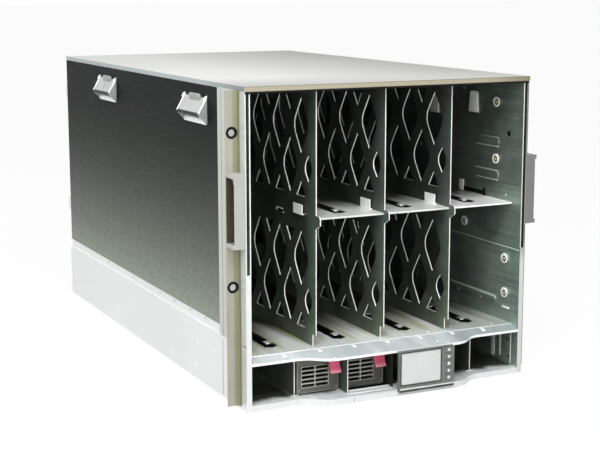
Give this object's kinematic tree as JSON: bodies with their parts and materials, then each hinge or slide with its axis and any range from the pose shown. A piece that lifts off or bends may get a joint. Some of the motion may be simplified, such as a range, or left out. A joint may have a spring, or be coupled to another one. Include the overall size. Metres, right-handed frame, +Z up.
{
  "type": "rack enclosure for plug-in modules",
  "caption": "Ten-unit rack enclosure with perforated module dividers, sliding power supplies, a tilting display on a rail, rear fans and lifting brackets.",
  "frame": {"origin": "centre of the side walls' outline on the base, at the level it stands on", "axes": "+X to the right seen from the front, +Y to the rear, +Z up"},
  "size_m": [0.4826, 0.8589, 0.442],
  "materials": {
    "zinc": "satin",
    "bare_steel": "satin",
    "bright_steel": "satin",
    "cover_steel": "brushed",
    "dark_skin": "brushed dark",
    "ear_steel": "satin",
    "black_ring": "matte",
    "supply_case": "satin",
    "supply_face": "satin",
    "latch_plastic": "satin",
    "circuit_board": "satin",
    "black_plastic": "matte",
    "display_plastic": "matte",
    "screen_pane": "gloss",
    "button_rubber": "matte"
  },
  "bodies": {
    "chassis": {"divider_left": "zinc", "divider_centre": "zinc", "divider_right": "zinc", "left_inner_wall": "zinc", "right_inner_wall": "zinc", "power_bay_dividers": "zinc", "shelf_tabs": "zinc", "wall_studs": "zinc", "rear_shelves": "zinc", "fan_bay_dividers": "zinc", "left_side_wall": "bare_steel", "right_side_wall": "bare_steel", "base_tray": "bare_steel", "bay_floor": "bare_steel", "bottom_plate": "bare_steel", "left_base_side": "bare_steel", "right_base_side": "bare_steel", "shelf_centre_left": "bare_steel", "shelf_centre_right": "bare_steel", "shelf_right": "bare_steel", "rear_blanks": "bare_steel", "power_inlet_panel": "bare_steel", "left_grip": "bright_steel", "right_grip": "bright_steel", "left_lift_brackets": "bright_steel", "right_lift_brackets": "bright_steel", "top_cover": "cover_steel", "left_side_skin": "dark_skin", "right_side_skin": "dark_skin", "left_rack_ear": "ear_steel", "right_rack_ear": "ear_steel", "ear_washers": "black_ring", "midplane_board": "circuit_board", "power_backplane": "circuit_board", "midplane_connectors": "black_plastic", "power_inlets": "black_plastic", "fan_housings": "black_plastic", "display_rail": "display_plastic"},
    "supply_a": {"supply_a_casing": "supply_case", "supply_a_face": "supply_face", "supply_a_board": "circuit_board", "supply_a_plug": "black_plastic"},
    "supply_a_release": {"supply_a_latch": "latch_plastic"},
    "supply_b": {"supply_b_casing": "supply_case", "supply_b_face": "supply_face", "supply_b_board": "circuit_board", "supply_b_plug": "black_plastic"},
    "supply_b_release": {"supply_b_latch": "latch_plastic"},
    "display_slider": {"display_carriage": "display_plastic"},
    "display": {"display_housing": "display_plastic", "display_screen": "screen_pane"},
    "up_key": {"button_up": "button_rubber"},
    "down_key": {"button_down": "button_rubber"},
    "select_key": {"button_select": "button_rubber"},
    "right_key": {"button_right": "button_rubber"},
    "left_key": {"button_left": "button_rubber"},
    "fan_lower_left": {"fan_rotor_lower_left": "black_plastic"},
    "fan_lower_right": {"fan_rotor_lower_right": "black_plastic"},
    "fan_upper_left": {"fan_rotor_upper_left": "black_plastic"},
    "fan_upper_right": {"fan_rotor_upper_right": "black_plastic"}
  },
  "joints": [
    {"name": "supply_a_slide", "type": "slide", "parent": "chassis", "child": "supply_a", "axis": [0, -1, 0], "range_m": [0, 0.4]},
    {"name": "supply_a_latch_pivot", "type": "hinge", "parent": "supply_a", "child": "supply_a_release", "pos_m": [-0.0853, -0.3935, 0.0535], "axis": [-1, 0, 0], "range_deg": [0, 25], "stiffness_Nm_per_rad": 0.1},
    {"name": "supply_b_slide", "type": "slide", "parent": "chassis", "child": "supply_b", "axis": [0, -1, 0], "range_m": [0, 0.4]},
    {"name": "supply_b_latch_pivot", "type": "hinge", "parent": "supply_b", "child": "supply_b_release", "pos_m": [-0.0133, -0.3935, 0.0535], "axis": [-1, 0, 0], "range_deg": [0, 25], "stiffness_Nm_per_rad": 0.1},
    {"name": "display_slide", "type": "slide", "parent": "chassis", "child": "display_slider", "axis": [1, 0, 0], "range_m": [-0.0925, 0.008]},
    {"name": "display_tilt", "type": "hinge", "parent": "display_slider", "child": "display", "pos_m": [0.04225, -0.4332, 0.0086], "axis": [1, 0, 0], "range_deg": [0, 75]},
    {"name": "up_key_press", "type": "slide", "parent": "display", "child": "up_key", "axis": [0, 1, 0], "range_m": [0, 0.0005], "stiffness_N_per_m": 800},
    {"name": "down_key_press", "type": "slide", "parent": "display", "child": "down_key", "axis": [0, 1, 0], "range_m": [0, 0.0005], "stiffness_N_per_m": 800},
    {"name": "select_key_press", "type": "slide", "parent": "display", "child": "select_key", "axis": [0, 1, 0], "range_m": [0, 0.0005], "stiffness_N_per_m": 800},
    {"name": "right_key_press", "type": "slide", "parent": "display", "child": "right_key", "axis": [0, 1, 0], "range_m": [0, 0.0005], "stiffness_N_per_m": 800},
    {"name": "left_key_press", "type": "slide", "parent": "display", "child": "left_key", "axis": [0, 1, 0], "range_m": [0, 0.0005], "stiffness_N_per_m": 800},
    {"name": "fan_lower_left_spin", "type": "hinge", "parent": "chassis", "child": "fan_lower_left", "pos_m": [-0.1735, 0.2935, 0.1145], "axis": [0, 1, 0], "continuous": true},
    {"name": "fan_lower_right_spin", "type": "hinge", "parent": "chassis", "child": "fan_lower_right", "pos_m": [0.1735, 0.2935, 0.1145], "axis": [0, 1, 0], "continuous": true},
    {"name": "fan_upper_left_spin", "type": "hinge", "parent": "chassis", "child": "fan_upper_left", "pos_m": [-0.1735, 0.2935, 0.393], "axis": [0, 1, 0], "continuous": true},
    {"name": "fan_upper_right_spin", "type": "hinge", "parent": "chassis", "child": "fan_upper_right", "pos_m": [0.1735, 0.2935, 0.393], "axis": [0, 1, 0], "continuous": true}
  ]
}
